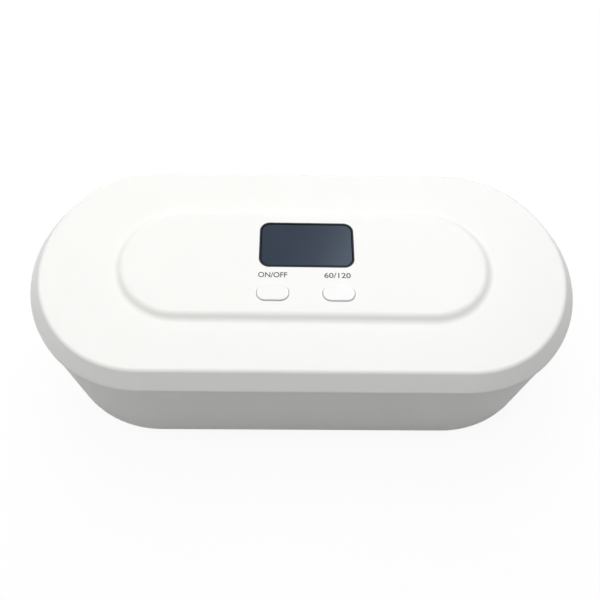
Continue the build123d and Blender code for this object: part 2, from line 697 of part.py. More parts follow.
def make_control_board():
    """Main board with a front tongue for the sensor and a notched rear tongue for the charge socket."""
    half = BOARD_LENGTH / 2
    board = block((-half, BOARD_FRONT_Y, BOARD_Z), (half, BOARD_BACK_Y, BOARD_TOP_Z))
    front = BOARD_TONGUE_FRONT_WIDTH / 2
    board = board + block((-front, BOARD_TONGUE_FRONT_Y, BOARD_Z), (front, BOARD_FRONT_Y + CUT, BOARD_TOP_Z))
    back = BOARD_TONGUE_BACK_WIDTH / 2
    board = board + block((-back, BOARD_BACK_Y - CUT, BOARD_Z), (back, BOARD_TONGUE_BACK_Y, BOARD_TOP_Z))
    notch = PORT_LENGTH / 2 + BOARD_PLAY
    port_back = PORT_MOUTH_Y - PORT_DEPTH - BOARD_PLAY
    low = (-notch, port_back, BOARD_Z - CUT)
    board = board - block(low, (notch, BOARD_TONGUE_BACK_Y + CUT, BOARD_TOP_Z + CUT))
    for x in (-BOARD_SCREW_X, BOARD_SCREW_X):
        for y in BOARD_SCREW_Y:
            board = board - post(x, y, BOARD_SCREW_R + BOARD_PLAY, BOARD_Z - CUT, BOARD_TOP_Z + CUT)
    return board


def make_board_chips():
    """Controller, driver, coil and capacitor on the main board."""
    chips = []
    for x, y, length, width, height in CHIPS:
        low = (x - length / 2, y - width / 2, BOARD_TOP_Z)
        high = (x + length / 2, y + width / 2, BOARD_TOP_Z + height)
        chips.append(block(low, high))
    x, y, radius, height = CAPACITOR
    return chips + [post(x, y, radius, BOARD_TOP_Z, BOARD_TOP_Z + height)]


def make_board_screws():
    """Four screws up through the main board into the lid."""
    return [screw(x, y, BOARD_Z - BOARD_SCREW_HEAD, BOARD_SCREW_HEAD_R, BOARD_SCREW_HEAD, BOARD_SCREW_R,
                  BOARD_SCREW_LENGTH, up=True)
            for x in (-BOARD_SCREW_X, BOARD_SCREW_X) for y in BOARD_SCREW_Y]


def make_board_headers():
    """Two pin headers between the lamp strips and the main board."""
    low_z = PAN_FLOOR_TOP_Z + LAMP_BOARD
    half_x = HEADER_LENGTH / 2
    half_y = HEADER_WIDTH / 2
    return [block((HEADER_X - half_x, y - half_y, low_z), (HEADER_X + half_x, y + half_y, BOARD_Z))
            for y in (-LAMP_Y, LAMP_Y)]


def make_hall_sensor():
    """Sensor on the front tongue of the main board."""
    length, width, height = HALL_SIZE
    low = (-length / 2, HALL_Y - width / 2, BOARD_TOP_Z)
    return block(low, (length / 2, HALL_Y + width / 2, BOARD_TOP_Z + height))


def make_charge_port():
    """Sheet metal socket shell with its tongue, mouth to the back."""
    back_y = PORT_MOUTH_Y - PORT_DEPTH
    bore = port_tunnel(-PORT_SHELL, back_y + PORT_BACK_WALL, PORT_MOUTH_Y + CUT)
    low = (-PORT_TONGUE_HALF, back_y + PORT_TONGUE_ROOT, PORT_Z - PORT_TONGUE / 2)
    high = (PORT_TONGUE_HALF, back_y + PORT_TONGUE_ROOT + PORT_TONGUE_LENGTH, PORT_Z + PORT_TONGUE / 2)
    return port_tunnel(0, back_y, PORT_MOUTH_Y) - bore + block(low, high)


def make_battery_pack():
    """Flat battery on the floor of the inner cover."""
    length, width, height = BATTERY_SIZE
    middle = (BATTERY_X, 0, PAN_FLOOR_TOP_Z + height / 2)
    pack = Pos(*middle) * Box(length, width, height)
    return fillet(pack.edges().filter_by(Axis.Y), BATTERY_EDGE_R)


def make_lid_inner_cover():
    """Pan that closes the lid from below, with the lamp slots and a flange for the screws."""
    pan = slab(PAN_INSET, PAN_BOTTOM_Z, PAN_TOP_Z)
    pan = fillet(edges_at(pan, PAN_BOTTOM_Z), PAN_BOTTOM_R)
    pan = pan + slab(PAN_FLANGE_INSET, PAN_FLANGE_Z, PAN_TOP_Z)
    pan = pan - slab(PAN_INSET + PAN_WALL, PAN_FLOOR_TOP_Z, PAN_TOP_Z + CUT)
    for y in (-LAMP_Y, LAMP_Y):
        half_x = LAMP_SLOT_LENGTH / 2
        half_y = LAMP_SLOT_WIDTH / 2
        low = (-half_x, y - half_y, PAN_BOTTOM_Z - CUT)
        pan = pan - block(low, (half_x, y + half_y, PAN_FLOOR_TOP_Z + CUT))
        pan = pan - lamp_cover(y, LAMP_PLAY, PAN_BOTTOM_Z - CUT)
    for x, y in corner_places(LID_SCREW_INSET):
        pan = pan - post(x, y, LID_SCREW_R, PAN_FLANGE_Z - CUT, PAN_TOP_Z + CUT)
        pan = pan - post(x, y, LID_SCREW_HEAD_R, PAN_FLANGE_Z - CUT, PAN_FLANGE_Z + LID_SCREW_HEAD)
    for x in (-MAGNET_X, MAGNET_X):
        pan = pan - lid_magnet(x)
    return pan


def lid_magnet(x):
    """Flat magnet let into the top of the flange at the front."""
    front = -(HALF_WIDTH - PAN_FLANGE_INSET - LID_MAGNET_INSET)
    half = MAGNET_LENGTH / 2
    low = (x - half, front, PAN_FLANGE_Z + LID_MAGNET_FLOOR)
    return block(low, (x + half, front + MAGNET_DEPTH, PAN_TOP_Z))


def make_lid_magnets():
    """Two magnets in the flange of the inner cover."""
    return [lid_magnet(x) for x in (-MAGNET_X, MAGNET_X)]


def make_lid_screws():
    """Six screws up through the flange into the lid's bosses, heads flush."""
    return [screw(x, y, PAN_FLANGE_Z, LID_SCREW_HEAD_R, LID_SCREW_HEAD, LID_SCREW_R, LID_SCREW_LENGTH,
                  up=True)
            for x, y in corner_places(LID_SCREW_INSET)]


def make_light_seal():
    """Silicone ring under the flange."""
    return ring(SEAL_INSET, SEAL_INSET + SEAL_WIDTH, PAN_FLANGE_Z - SEAL_HEIGHT, PAN_FLANGE_Z)


def make_led_boards():
    """Two lamp strips on the floor of the inner cover."""
    half_x = LAMP_BOARD_LENGTH / 2
    half_y = LAMP_BOARD_WIDTH / 2
    top_z = PAN_FLOOR_TOP_Z + LAMP_BOARD
    return [block((-half_x, y - half_y, PAN_FLOOR_TOP_Z), (half_x, y + half_y, top_z))
            for y in (-LAMP_Y, LAMP_Y)]


def emitter_places():
    """Centres of the emitters along the two strips."""
    start = -EMITTER_PITCH * (EMITTER_COUNT - 1) / 2
    return [(start + step * EMITTER_PITCH, y) for y in (-LAMP_Y, LAMP_Y) for step in range(EMITTER_COUNT)]


def make_uv_leds():
    """Emitters under the lamp strips, facing down into the chamber."""
    leds = []
    half = EMITTER_SIDE / 2
    for x, y in emitter_places():
        top_z = PAN_FLOOR_TOP_Z
        body = block((x - half, y - half, top_z - EMITTER_HEIGHT), (x + half, y + half, top_z))
        low_z = top_z - EMITTER_HEIGHT
        cup = post(x, y, EMITTER_CUP_R, low_z - CUT, low_z + EMITTER_CUP)
        leds.append(body - cup)
    return leds


def lamp_cover(y, grow, low_z):
    """Rounded flat strip under one lamp strip, up to the ledge of its pocket."""
    size = (LAMP_COVER_LENGTH + 2 * grow, LAMP_COVER_WIDTH + 2 * grow)
    return rounded_block((0, y), size, LAMP_COVER_R + grow, low_z, PAN_BOTTOM_Z + LAMP_COVER)


def make_led_covers():
    """Two clear strips flush with the underside of the inner cover."""
    return [lamp_cover(y, 0, PAN_BOTTOM_Z) for y in (-LAMP_Y, LAMP_Y)]


NODES = {
    "base_shell": make_base_shell,
    "chamber_liner": make_chamber_liner,
    "liner_screws": make_liner_screws,
    "tool_rack": make_tool_rack,
    "rubber_feet": make_rubber_feet,
    "base_magnets": make_base_magnets,
    "sensor_magnet": make_sensor_magnet,
    "hinge_pins": make_hinge_pins,
    "lid_shell": make_lid_shell,
    "window_bezel": make_window_bezel,
    "display_window": make_display_window,
    "display_module": make_display_module,
    "control_board": make_control_board,
    "board_chips": make_board_chips,
    "board_screws": make_board_screws,
    "board_headers": make_board_headers,
    "hall_sensor": make_hall_sensor,
    "charge_port": make_charge_port,
    "switch_housings": make_switch_housings,
    "battery_pack": make_battery_pack,
    "lid_inner_cover": make_lid_inner_cover,
    "lid_screws": make_lid_screws,
    "lid_magnets": make_lid_magnets,
    "light_seal": make_light_seal,
    "led_boards": make_led_boards,
    "uv_leds": make_uv_leds,
    "led_covers": make_led_covers,
    "power_button": lambda: make_button(BUTTON_X["power"]),
    "power_plunger": lambda: make_plunger(BUTTON_X["power"]),
    "timer_button": lambda: make_button(BUTTON_X["timer"]),
    "timer_plunger": lambda: make_plunger(BUTTON_X["timer"]),
}

os.makedirs("parts", exist_ok=True)
for name, make in NODES.items():
    made = make()
    pieces = made if isinstance(made, list) else [made]
    placed = [Pos(0, BACK_SHIFT, 0) * piece for piece in pieces]
    shape = placed[0] if len(placed) == 1 else Compound(children=placed)
    export_step(shape, f"parts/{name}.step")
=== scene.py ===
"""Looks of a white ultraviolet sterilizer box for nail tools, in metres, in the frame of its CAD model."""
import json
from math import cos, pi, radians, sin

import bmesh
import bpy
import numpy as np
from mathutils import Matrix, Vector

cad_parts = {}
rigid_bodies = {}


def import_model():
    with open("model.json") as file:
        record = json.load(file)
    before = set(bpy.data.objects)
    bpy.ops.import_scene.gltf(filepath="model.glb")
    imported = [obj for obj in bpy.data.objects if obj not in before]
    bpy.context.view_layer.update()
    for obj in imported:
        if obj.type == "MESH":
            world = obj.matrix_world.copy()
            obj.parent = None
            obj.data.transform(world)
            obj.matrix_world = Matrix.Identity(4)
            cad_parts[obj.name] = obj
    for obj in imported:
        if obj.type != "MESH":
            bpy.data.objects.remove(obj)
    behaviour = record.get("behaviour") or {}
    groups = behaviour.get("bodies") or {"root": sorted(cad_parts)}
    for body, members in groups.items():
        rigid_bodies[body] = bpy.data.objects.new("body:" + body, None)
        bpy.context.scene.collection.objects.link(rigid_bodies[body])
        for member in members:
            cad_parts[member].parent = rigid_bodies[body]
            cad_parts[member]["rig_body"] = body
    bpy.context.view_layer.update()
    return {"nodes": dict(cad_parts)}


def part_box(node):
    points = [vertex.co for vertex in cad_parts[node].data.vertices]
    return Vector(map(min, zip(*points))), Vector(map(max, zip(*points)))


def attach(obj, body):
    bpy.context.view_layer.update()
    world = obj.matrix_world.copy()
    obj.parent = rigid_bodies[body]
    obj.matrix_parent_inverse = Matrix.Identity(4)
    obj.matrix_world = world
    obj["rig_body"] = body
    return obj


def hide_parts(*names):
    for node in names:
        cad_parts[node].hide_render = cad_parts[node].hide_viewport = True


MM = 0.001
UM = 0.000001
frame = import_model()
panel_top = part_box("lid_shell")[1].z
led_low, led_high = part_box("uv_leds")
strip_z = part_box("led_boards")[0].z
port_low, port_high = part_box("charge_port")
port_middle_z = (port_low.z + port_high.z) / 2

# Clean-up and shading of the construction pieces' copies
MERGE_REACH = 2 * UM
FLAT_ANGLE = radians(0.2)
SHARP_ANGLE = radians(35)
BEVEL_STEPS = 3

# Printed legends in millimetres: the words, their middle along X and their length
LEGENDS = {"power_legend": ("ON/OFF", -14.5, 12.9), "timer_legend": ("60/120", 14.4, 11.8)}
LEGEND_Y = -8.3
LEGEND_HEIGHT = 2.7
INK_THICK = 0.04

# Share of its thickness that the middle of the ink lies over the panel
INK_LIFT = 0.3

# Letters as Blender draws them, before they are brought to the measures above
LETTER_DEPTH = 0.5
LETTER_SPREAD = 0.012
LETTER_STEPS = 6

# Lenses, resistors and terminals on the lamp strips, in millimetres; a pair is along X and along Y
EMITTER_HALF = 1.75
EMITTERS_IN_ROW = 6
CUP_DEPTH = 0.3
LENS_R = 1.0
LENS_DROP = 0.28
RESISTOR = (1.5, 0.8)
RESISTOR_HEIGHT = 0.45
RESISTOR_EDGE = 0.08
TERMINAL = (0.32, 0.84)
TERMINAL_X = 0.66
TERMINAL_HEIGHT = 0.48
TERMINAL_EDGE = 0.1

# Tongue of the charge socket and the contacts on it, in millimetres; the pair is along X and along Y
TONGUE_HALF_X = 3.31
TONGUE_HALF_Z = 0.36
TONGUE_ROOT = 0.99
TONGUE_TOP = 0.35
CONTACT = (0.26, 3.4)
CONTACT_PITCH = 0.5
CONTACT_COUNT = 12
CONTACT_Y = 5.4
CONTACT_HEIGHT = 0.03
CONTACT_EDGE = 0.01

# Meshes of the small pieces
SECTION_POINTS = 24
OBLONG_POWER = 5
DOME_RINGS = 8
PILLOW_RINGS = 4
PILLOW_DRAW_IN = 0.12
SMALL_MERGE_REACH = 0.1 * UM
SMALL_SHARP_ANGLE = radians(40)

# Plastics, metals and boards: sizes and heights in metres, and how far grain and lines change roughness
MOTTLE_SIZE = 12 * MM
WAVE_SIZE = 28 * MM
TONE_SIZE = 6 * MM
GRAIN_SPREAD = 0.06
LINE_SPREAD = 0.12
WEAVE_SIZE = 0.3 * MM
WEAVE_HEIGHT = 3 * UM
COPPER_HEIGHT = 35 * UM

# Sockets of the Mix node where it mixes colours: its factor, its two colours and its result
MIX_FACTOR, MIX_LOW, MIX_HIGH, MIX_RESULT = 0, 6, 7, 2

# Camera: its place in millimetres and its turns; the focal length, side and optical axis in picture points
TARGET = (1.22, -0.1, 35.0)
DISTANCE = 310.7
ELEVATION = radians(61.386)
TURN = radians(-3.094)
ROLL = radians(3.354)
FOCAL = 615.0
IMAGE = 600
AXIS = (305.6, 299.1)

# Lamps: turn and rise in degrees, size and distance in metres, power in watts
LAMP_DISTANCE = 1.0
LAMPS = {
    "back_softbox": {"turn": 0, "rise": 50, "size": (0.9, 0.7), "power": 4.95},
    "left_softbox": {"turn": -80, "rise": 70, "size": (0.7, 0.7), "power": 4.25},
    "right_softbox": {"turn": 80, "rise": 70, "size": (0.7, 0.7), "power": 2.4},
    "front_softbox": {"turn": 180, "rise": 65, "size": (0.7, 0.7), "power": 1.35},
    "reflector": {"turn": 32, "rise": 57, "size": (0.4, 0.4), "power": 1.55, "colour": (0.75, 0.87, 1.0),
                  "reflected_only": True},
}

# Backdrop and floor, lengths in metres
WHITE = (1, 1, 1)
AMBIENT = 0.025
PAPER_LOW = (0.79, 0.79, 0.79)
PAPER_HIGH = (0.81, 0.81, 0.81)
FIBRE_SIZE = 0.8 * MM
FLOOR_HALF = 4.0
FLOOR_GLOW = 1.03
FLOOR_SHARE = 0.88
FLOOR_NEAR = 0.3
FLOOR_FAR = 0.9


class Num:
    """A socket that carries numbers; sums of it written in Python add the Math nodes that work them out."""

    def __init__(self, finish, socket):
        self.finish = finish
        self.socket = socket

    def sum(self, operation, *terms):
        node = self.finish.node("ShaderNodeMath", {"operation": operation})
        for slot, term in zip(node.inputs, terms):
            self.finish.feed(slot, term)
        return Num(self.finish, node.outputs[0])

    def __add__(self, other):
        return self.sum("ADD", self, other)

    def __radd__(self, other):
        return self.sum("ADD", other, self)

    def __sub__(self, other):
        return self.sum("SUBTRACT", self, other)

    def __rsub__(self, other):
        return self.sum("SUBTRACT", other, self)

    def __mul__(self, other):
        return self.sum("MULTIPLY", self, other)

    def __rmul__(self, other):
        return self.sum("MULTIPLY", other, self)

    def __gt__(self, other):
        return self.sum("GREATER_THAN", self, other)

    def __lt__(self, other):
        return self.sum("LESS_THAN", self, other)

    def size(self):
        return self.sum("ABSOLUTE", self)

    def root(self):
        return self.sum("SQRT", self)

    def largest(self, other):
        return self.sum("MAXIMUM", self, other)

    def span(self, low, high):
        """0 below low, 1 above high and a straight rise between them."""
        sockets = {"Value": self, "From Min": low, "From Max": high}
        return Num(self.finish, self.finish.node("ShaderNodeMapRange", {"clamp": True}, sockets).outputs[0])


class Finish:
    """A material or a world being made: its nodes, its place on the object and its closing shader."""

    def __init__(self, name, owner=None):
        self.owner = owner or bpy.data.materials.new(name)
        self.owner.use_nodes = True
        self.tree = self.owner.node_tree
        self.tree.nodes.clear()

    def feed(self, slot, value):
        if isinstance(value, Num):
            value = value.socket
        if isinstance(value, bpy.types.NodeSocket):
            self.tree.links.new(value, slot)
        elif slot.type == "RGBA":
            slot.default_value = (*value, 1)
        else:
            slot.default_value = value

    def node(self, kind, settings=None, sockets=None):
        """Adds a node of a type, sets its settings, then its sockets' values or links."""
        node = self.tree.nodes.new(kind)
        for key, value in (settings or {}).items():
            setattr(node, key, value)
        for key, value in (sockets or {}).items():
            self.feed(node.inputs[key], value)
        return node

    def place(self):
        return self.node("ShaderNodeTexCoord").outputs["Object"]

    def axes(self):
        """X, Y and Z of the point, as numbers."""
        parts = self.node("ShaderNodeSeparateXYZ", {}, {"Vector": self.place()})
        return [Num(self, socket) for socket in parts.outputs]

    def noise(self, size, detail=2.0, stretch=(1, 1, 1)):
        """Noise from 0 to 1 with grains of about size metres, drawn out along the axes by stretch."""
        scale = tuple(1 / share for share in stretch)
        place = self.node("ShaderNodeMapping", {}, {"Vector": self.place(), "Scale": scale})
        sockets = {"Vector": place.outputs[0], "Scale": 1 / size, "Detail": detail}
        return Num(self, self.node("ShaderNodeTexNoise", {}, sockets).outputs["Fac"])

    def cells(self, size):
        """Distance along the axes to the nearest of points about size metres apart, as a share of size."""
        sockets = {"Vector": self.place(), "Scale": 1 / size}
        cells = self.node("ShaderNodeTexVoronoi", {"distance": "MANHATTAN"}, sockets)
        return Num(self, cells.outputs["Distance"])

    def tint(self, mask, low, high):
        """Colour that goes from low to high as mask goes from 0 to 1."""
        node = self.node("ShaderNodeMix", {"data_type": "RGBA"})
        for slot, value in ((MIX_FACTOR, mask), (MIX_LOW, low), (MIX_HIGH, high)):
            self.feed(node.inputs[slot], value)
        return node.outputs[MIX_RESULT]

    def bump(self, height, depth, under=None):
        """Normal of a relief that is depth metres high, over another relief if one is given."""
        sockets = {"Height": height, "Distance": depth, "Strength": 1.0}
        if under is not None:
            sockets["Normal"] = under
        return self.node("ShaderNodeBump", {}, sockets).outputs["Normal"]

    def close(self, **sockets):
        """Joins the principled shader to the output; a low line in a name stands for a space."""
        named = {key.replace("_", " "): value for key, value in sockets.items()}
        shader = self.node("ShaderNodeBsdfPrincipled", {}, named)
        self.node("ShaderNodeOutputMaterial", {}, {"Surface": shader.outputs[0]})
        return self.owner


def moulded(name, low, high, roughness, grain=0.22, relief=5, wave=12, **more):
    """Injection-moulded plastic: spark-eroded grain, grain millimetres apart and relief micrometres high,
    a slow wave of the wall, wave micrometres high, and a faint mottle between the two colours."""
    finish = Finish(name)
    mottle = finish.noise(MOTTLE_SIZE, detail=3)
    grains = finish.noise(grain * MM, detail=1)
    normal = finish.bump(finish.noise(WAVE_SIZE, detail=1), wave * UM)
    normal = finish.bump(grains, relief * UM, under=normal)
    colour = finish.tint(mottle, low, high)
    rough = roughness + GRAIN_SPREAD * (grains - 0.5)
    return finish.close(Base_Color=colour, Roughness=rough, Normal=normal, **more)


def metal(name, low, high, roughness, stretch, line, relief=1.5):
    """Bare metal: lines, line millimetres apart and relief micrometres high, drawn out along the axes by
    stretch, and a faint change of tone."""
    finish = Finish(name)
    lines = finish.noise(line * MM, detail=3, stretch=stretch)
    tone = finish.noise(TONE_SIZE, detail=2)
    return finish.close(
        Base_Color=finish.tint(tone, low, high), Metallic=1.0,
        Roughness=roughness + LINE_SPREAD * (lines - 0.5), Normal=finish.bump(lines, relief * UM),
    )


def board(name, low, high, pitch, edge, roughness, spread):
    """Circuit board: its mask is lighter and higher over the copper tracks, which lie where the distance to
    points about pitch millimetres apart is over edge times pitch; a fine weave shows through."""
    finish = Finish(name)
    tracks = finish.cells(pitch * MM) > edge
    weave = finish.noise(WEAVE_SIZE, detail=1)
    normal = finish.bump(weave, WEAVE_HEIGHT, under=finish.bump(tracks, COPPER_HEIGHT))
    return finish.close(
        Base_Color=finish.tint(tracks, low, high),
        Roughness=roughness + spread * (weave - 0.5), Normal=normal,
    )


def shell_white():
    """Matte white of the two shells."""
    return moulded("shell_white", (0.845, 0.842, 0.822), (0.870, 0.867, 0.847), 0.44)


def button_white():
    """White of the buttons, a little smoother than the shells."""
    return moulded("button_white", (0.85, 0.85, 0.843), (0.87, 0.87, 0.865), 0.34,
                   grain=0.15, relief=2, wave=4)


def cover_white():
    """White of the pan under the lid and of the switches' housings."""
    return moulded("cover_white", (0.78, 0.78, 0.77), (0.81, 0.81, 0.805), 0.38, grain=0.3, relief=6)


def rack_white():
    """Polypropylene: a little waxy, so that light goes slightly into it."""
    return moulded("rack_white", (0.74, 0.75, 0.76), (0.79, 0.80, 0.81), 0.36, grain=0.35, relief=4, wave=25,
                   Subsurface_Weight=0.15, Subsurface_Scale=0.001)


def bezel_black():
    """Black frame round the display window."""
    return moulded("bezel_black", (0.006, 0.008, 0.011), (0.010, 0.012, 0.016), 0.42, relief=2, wave=3,
                   Specular_IOR_Level=0.3)


def module_black():
    """Black body of the display module."""
    return moulded("module_black", (0.016, 0.017, 0.019), (0.024, 0.025, 0.028), 0.5)


def chip_black():
    """Dull black of the chips, the pin headers and the lid's sensor."""
    return moulded("chip_black", (0.020, 0.020, 0.021), (0.032, 0.032, 0.033), 0.58, grain=0.12, relief=7)


def plunger_black():
    """Black of the switches' plungers."""
    return moulded("plunger_black", (0.018, 0.018, 0.019), (0.028, 0.028, 0.029), 0.4)


def seal_black():
    """Black silicone of the light seal, soft and wavy."""
    return moulded("seal_black", (0.03, 0.03, 0.032), (0.045, 0.045, 0.048), 0.62,
                   grain=0.4, relief=8, wave=30)


def rubber_grey():
    """Grey rubber of the feet."""
    return moulded("rubber_grey", (0.17, 0.17, 0.175), (0.22, 0.22, 0.225), 0.78,
                   grain=0.25, relief=14, wave=30)


def window_smoke():
    """Smoked acrylic: a deep blue-grey body under a smooth surface with a slow ripple."""
    finish = Finish("window_smoke")
    depth = finish.noise(9 * MM, detail=1)
    normal = finish.bump(finish.noise(14 * MM, detail=0), 3 * UM)
    return finish.close(
        Base_Color=finish.tint(depth, (0.004, 0.015, 0.032), (0.006, 0.019, 0.039)),
        Roughness=0.2 + 0.02 * (depth - 0.5), Normal=normal, Specular_IOR_Level=0.42,
    )


def legend_ink():
    """Screen-printed ink: dark slate with the uneven edge of a thin coat."""
    finish = Finish("legend_ink")
    coat = finish.noise(0.12 * MM, detail=2)
    return finish.close(
        Base_Color=finish.tint(coat, (0.020, 0.028, 0.038), (0.040, 0.050, 0.062)),
        Roughness=0.5 + 0.1 * (coat - 0.5), Normal=finish.bump(coat, 4 * UM),
    )


def liner_bright():
    """Bright metallised liner: mirror-like, with a slow orange peel and fine wiping marks."""
    finish = Finish("liner_bright")
    peel = finish.noise(7 * MM, detail=1)
    wiped = finish.noise(0.16 * MM, detail=3, stretch=(30, 1, 1))
    normal = finish.bump(wiped, 0.6 * UM, under=finish.bump(peel, 14 * UM))
    return finish.close(
        Base_Color=finish.tint(peel, (0.80, 0.81, 0.83), (0.87, 0.88, 0.89)), Metallic=1.0,
        Roughness=0.17 + 0.14 * (wiped - 0.5), Normal=normal,
    )


def steel_screw():
    """Steel of the screws, with lines along X."""
    return metal("steel_screw", (0.52, 0.53, 0.55), (0.62, 0.63, 0.65), 0.32, (6, 1, 1), line=0.09)


def steel_pin():
    """Turned steel of the hinge pins, with lines across X."""
    return metal("steel_pin", (0.55, 0.55, 0.56), (0.66, 0.66, 0.67), 0.24, (1, 8, 8), line=0.06)


def magnet_nickel():
    """Nickel plating of the magnets."""
    return metal("magnet_nickel", (0.62, 0.60, 0.56), (0.70, 0.68, 0.64), 0.2, (1, 1, 1), line=0.5, relief=3)


def port_steel():
    """Stamped steel shell with drawing lines along Y; the tongue inside it is black plastic."""
    finish = Finish("port_steel")
    x, y, z = finish.axes()
    tongue = (x.size() < TONGUE_HALF_X * MM) * ((z - port_middle_z).size() < TONGUE_HALF_Z * MM)
    tongue = tongue * (y > port_low.y + TONGUE_ROOT * MM)
    lines = finish.noise(0.08 * MM, detail=3, stretch=(1, 10, 1))
    return finish.close(
        Base_Color=finish.tint(tongue, (0.63, 0.63, 0.64), (0.015, 0.015, 0.016)), Metallic=1 - tongue,
        Roughness=0.26 + LINE_SPREAD * (lines - 0.5) + 0.2 * tongue, Normal=finish.bump(lines, 1.5 * UM),
    )


def contact_gold():
    """Gold plating of the charge socket's contacts."""
    return metal("contact_gold", (0.82, 0.60, 0.26), (0.90, 0.68, 0.32), 0.25, (1, 6, 1), line=0.05)


def solder_tin():
    """Solder over the resistors' terminals."""
    return metal("solder_tin", (0.66, 0.66, 0.67), (0.78, 0.78, 0.79), 0.3, (1, 1, 1), line=0.2, relief=6)


def resistor_black():
    """Black body of the resistors."""
    return moulded("resistor_black", (0.015, 0.015, 0.016), (0.024, 0.024, 0.025), 0.35,
                   grain=0.08, relief=2, wave=1)


def lens_clear():
    """Hard silicone drop over the emitter chip: pale yellow and glossy."""
    finish = Finish("lens_clear")
    cloud = finish.noise(0.6 * MM, detail=1)
    return finish.close(
        Base_Color=finish.tint(cloud, (0.80, 0.62, 0.16), (0.88, 0.72, 0.26)), Roughness=0.12 + 0.04 * cloud,
        Normal=finish.bump(cloud, 2 * UM),
    )


def battery_silver():
    """Laminated foil pouch with soft creases."""
    finish = Finish("battery_silver")
    creases = finish.noise(7 * MM, detail=4)
    return finish.close(
        Base_Color=finish.tint(creases, (0.60, 0.61, 0.63), (0.76, 0.77, 0.79)), Metallic=0.9,
        Roughness=0.34 + 0.1 * (creases - 0.5), Normal=finish.bump(creases, 90 * UM),
    )


def board_green():
    """Green mask of the control board."""
    return board("board_green", (0.008, 0.075, 0.030), (0.022, 0.15, 0.062), pitch=3.2, edge=0.62,
                 roughness=0.36, spread=0.1)


def board_white():
    """White mask of the lamp strips."""
    return board("board_white", (0.72, 0.72, 0.70), (0.80, 0.80, 0.79), pitch=5, edge=0.7,
                 roughness=0.4, spread=0.05)


def emitter_yellow():
    """Ceramic emitter body."""
    return moulded("emitter_yellow", (0.72, 0.60, 0.30), (0.82, 0.70, 0.38), 0.45,
                   grain=0.1, relief=4, wave=2)


def cover_clear():
    """Clear strip with a faint satin underside."""
    finish = Finish("cover_clear")
    satin = finish.noise(0.2 * MM, detail=1)
    return finish.close(
        Base_Color=(0.86, 0.88, 0.92), Alpha=0.16 + 0.06 * (satin - 0.5),
        Roughness=0.14 + 0.08 * (satin - 0.5), Normal=finish.bump(satin, 2 * UM),
    )


def softened(node, edge, finish):
    """Copy of a construction piece that stands for it: corners merged, sharp edges rounded by edge
    millimetres, curved faces shaded smooth."""
    mesh = frame["nodes"][node].data.copy()
    shape = bmesh.new()
    shape.from_mesh(mesh)
    bmesh.ops.remove_doubles(shape, verts=shape.verts, dist=MERGE_REACH)
    bmesh.ops.dissolve_limit(shape, angle_limit=FLAT_ANGLE, verts=shape.verts, edges=shape.edges)
    shape.to_mesh(mesh)
    shape.free()
    mesh.materials.clear()
    mesh.materials.append(finish)
    piece = bpy.data.objects.new(node + "_piece", mesh)
    bpy.context.scene.collection.objects.link(piece)
    mesh.shade_smooth()
    mesh.set_sharp_from_angle(angle=SHARP_ANGLE)
    bevel = piece.modifiers.new("edges", "BEVEL")
    bevel.width = edge * MM
    bevel.segments = BEVEL_STEPS
    bevel.limit_method = "ANGLE"
    bevel.angle_limit = SHARP_ANGLE
    weighted = piece.modifiers.new("shading", "WEIGHTED_NORMAL")
    weighted.keep_sharp = True
    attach(piece, frame["nodes"][node]["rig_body"])
    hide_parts(node)


def legend(name, text, x, length, finish):
    """Raised ink of a printed word on the panel, its middle at x and length long, in millimetres."""
    curve = bpy.data.curves.new(name, "FONT")
    curve.body = text
    curve.extrude = LETTER_DEPTH
    curve.offset = LETTER_SPREAD
    curve.resolution_u = LETTER_STEPS
    drawn = bpy.data.objects.new(name + "_curve", curve)
    bpy.context.scene.collection.objects.link(drawn)
    bpy.context.view_layer.update()
    mesh = bpy.data.meshes.new_from_object(drawn.evaluated_get(bpy.context.evaluated_depsgraph_get()))
    bpy.data.objects.remove(drawn)
    points = np.empty(len(mesh.vertices) * 3)
    mesh.vertices.foreach_get("co", points)
    points = points.reshape(-1, 3)
    low, high = points.min(0), points.max(0)
    middle = (low + high) / 2
    size = np.array([length, LEGEND_HEIGHT, INK_THICK]) * MM / (high - low)
    place = np.array([x * MM, LEGEND_Y * MM, panel_top + INK_THICK * MM * INK_LIFT])
    mesh.vertices.foreach_set("co", ((points - middle) * size + place).ravel())
    mesh.materials.clear()
    mesh.materials.append(finish)
    piece = bpy.data.objects.new(name, mesh)
    bpy.context.scene.collection.objects.link(piece)
    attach(piece, "lid")


def circle(radius):
    """Round section: radius times the cosine and sine of the turn."""
    turn = np.linspace(0, 2 * pi, SECTION_POINTS, endpoint=False)
    return radius * MM * np.stack([np.cos(turn), np.sin(turn)], axis=1)


def oblong(length, width):
    """Rectangular section with soft corners: cosine and sine of the turn raised to two over OBLONG_POWER."""
    turn = np.linspace(0, 2 * pi, SECTION_POINTS, endpoint=False) + pi / SECTION_POINTS
    reach = np.stack([np.cos(turn), np.sin(turn)], axis=1)
    return np.sign(reach) * np.abs(reach) ** (2 / OBLONG_POWER) * np.array([length, width]) / 2 * MM


def pillow(height, edge):
    """Stations of a flat block: it stands square, then its last edge millimetres rise by the sine of a
    quarter turn while it draws in by PILLOW_DRAW_IN times one less the cosine."""
    turn = np.linspace(0, pi / 2, PILLOW_RINGS)
    rise = height - edge + edge * np.sin(turn)
    share = 1 - PILLOW_DRAW_IN * (1 - np.cos(turn))
    return np.vstack([(0, 0), (0, 1), np.stack([rise, share], axis=1), (height, 0)])


def dome(height):
    """Stations of a drop: it rises by the sine of a quarter turn while its section shrinks by the cosine."""
    turn = np.linspace(0, pi / 2, DOME_RINGS)
    return np.vstack([(0, 0), np.stack([height * np.sin(turn), np.cos(turn)], axis=1)])


